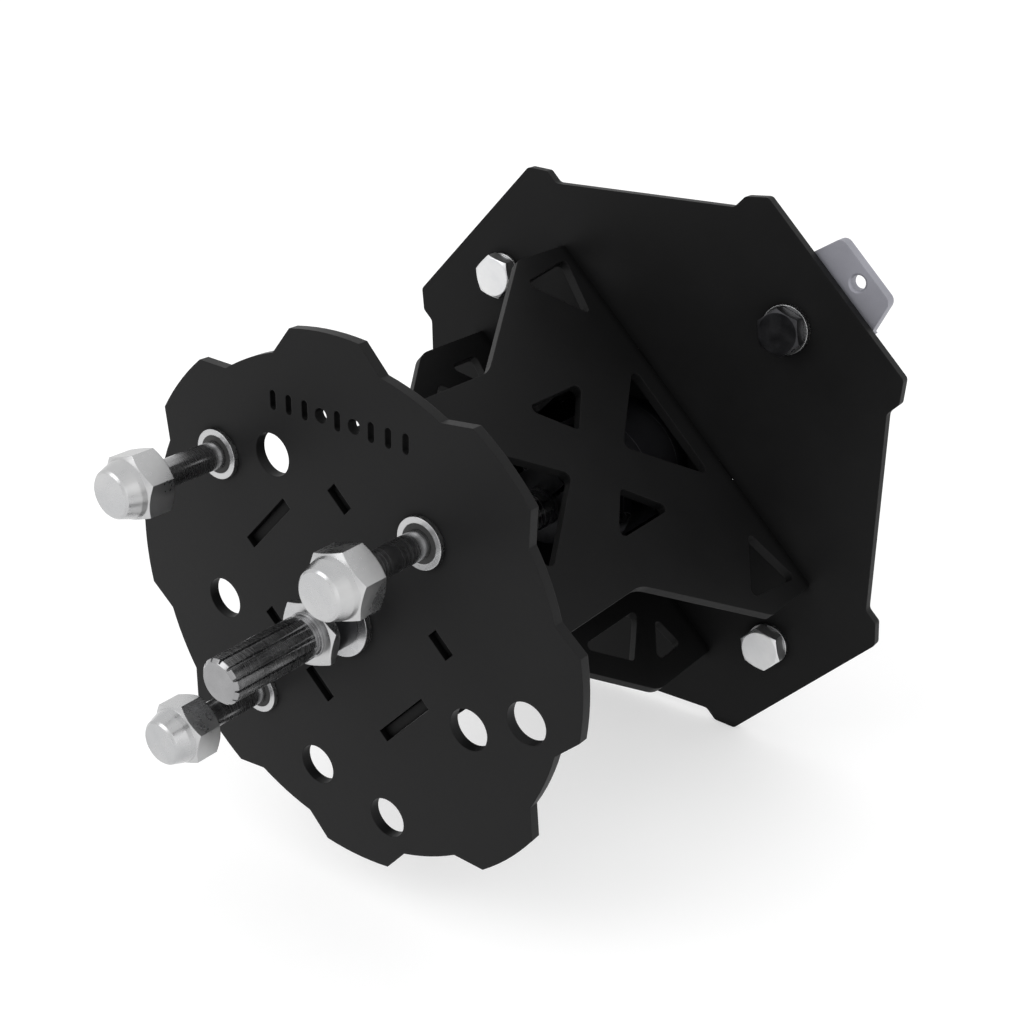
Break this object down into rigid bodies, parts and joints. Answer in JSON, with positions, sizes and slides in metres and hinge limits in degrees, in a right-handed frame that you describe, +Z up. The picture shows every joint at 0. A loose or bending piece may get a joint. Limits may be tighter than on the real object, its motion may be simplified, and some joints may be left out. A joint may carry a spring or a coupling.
{
  "type": "planetary gearbox",
  "caption": "Planetary gearbox in an open truss-plate frame, with an octagonal mounting plate, a lobed hub plate with studs, and a long fluted output shaft.",
  "frame": {"origin": "on the output axis, in the rear face of the rear bracket, at the centre of the motor bolt circle", "axes": "+Z up, the output axis along Y with the fluted shaft end towards -Y, +X to the right seen from the shaft end; the box section stands on its corner, turned 45 degrees about Y"},
  "size_m": [0.2368, 0.2895, 0.2368],
  "materials": {
    "black_plate": "satin black powder coat",
    "black_housing": "black anodised, fine turned",
    "bracket_aluminium": "bead-blasted and clear anodised",
    "gear_steel": "ground gear steel, lightly oiled",
    "shaft_steel": "turned steel",
    "bearing_steel": "ground",
    "zinc_plate": "bright zinc plate",
    "bronze": "sintered bronze",
    "seal_rubber": "matte",
    "black_oxide": "black oxide"
  },
  "bodies": {
    "frame": {"hub_plate": "black_plate", "right_side_plate": "black_plate", "left_side_plate": "black_plate", "top_side_plate": "black_plate", "bottom_side_plate": "black_plate", "mount_plate": "black_plate", "rear_bracket": "bracket_aluminium", "gearbox_rear_cover": "black_housing", "ring_gear": "black_housing", "gearbox_front_cover": "black_housing", "output_bearing_outer": "bearing_steel", "output_seal": "seal_rubber", "input_bearing_outer": "bearing_steel", "input_seal": "seal_rubber", "hub_bush": "bearing_steel", "hub_studs": "shaft_steel", "stud_washers": "zinc_plate", "stud_seals": "seal_rubber", "stud_nuts": "zinc_plate", "stud_back_nuts": "zinc_plate", "frame_bolts": "zinc_plate", "frame_bolt_washers": "zinc_plate", "bracket_bolts": "black_oxide", "bracket_bolt_washers": "zinc_plate", "gearbox_screws": "black_oxide", "gearbox_bolts": "black_oxide"},
    "output": {"output_shaft": "shaft_steel", "planet_carrier": "gear_steel", "planet_pins": "gear_steel", "pilot_bush": "bronze", "output_bearing_inner": "bearing_steel", "shaft_collar": "black_oxide", "collar_screw": "black_oxide", "shaft_spacer": "black_oxide", "shaft_nut": "zinc_plate"},
    "input": {"input_shaft": "gear_steel", "sun_gear": "gear_steel", "input_bearing_inner": "bearing_steel"},
    "planet_1": {"planet_gear_1": "gear_steel", "planet_bush_1": "bronze"},
    "planet_2": {"planet_gear_2": "gear_steel", "planet_bush_2": "bronze"},
    "planet_3": {"planet_gear_3": "gear_steel", "planet_bush_3": "bronze"}
  },
  "joints": [
    {"name": "output_spin", "type": "hinge", "parent": "frame", "child": "output", "pos_m": [0, 0, 0], "axis": [0, -1, 0], "continuous": true},
    {"name": "input_spin", "type": "hinge", "parent": "frame", "child": "input", "pos_m": [0, 0, 0], "axis": [0, -1, 0], "continuous": true},
    {"name": "planet_spin_1", "type": "hinge", "parent": "output", "child": "planet_1", "pos_m": [-0.00955, -0.034, 0.00955], "axis": [0, -1, 0], "continuous": true},
    {"name": "planet_spin_2", "type": "hinge", "parent": "output", "child": "planet_2", "pos_m": [-0.00349, -0.034, -0.01304], "axis": [0, -1, 0], "continuous": true},
    {"name": "planet_spin_3", "type": "hinge", "parent": "output", "child": "planet_3", "pos_m": [0.01304, -0.034, 0.00349], "axis": [0, -1, 0], "continuous": true}
  ],
  "couplings": [
    {"joint": "input_spin", "follows": "output_spin", "ratio": 4},
    {"joint": "planet_spin_1", "follows": "output_spin", "ratio": -3},
    {"joint": "planet_spin_2", "follows": "output_spin", "ratio": -3},
    {"joint": "planet_spin_3", "follows": "output_spin", "ratio": -3}
  ]
}
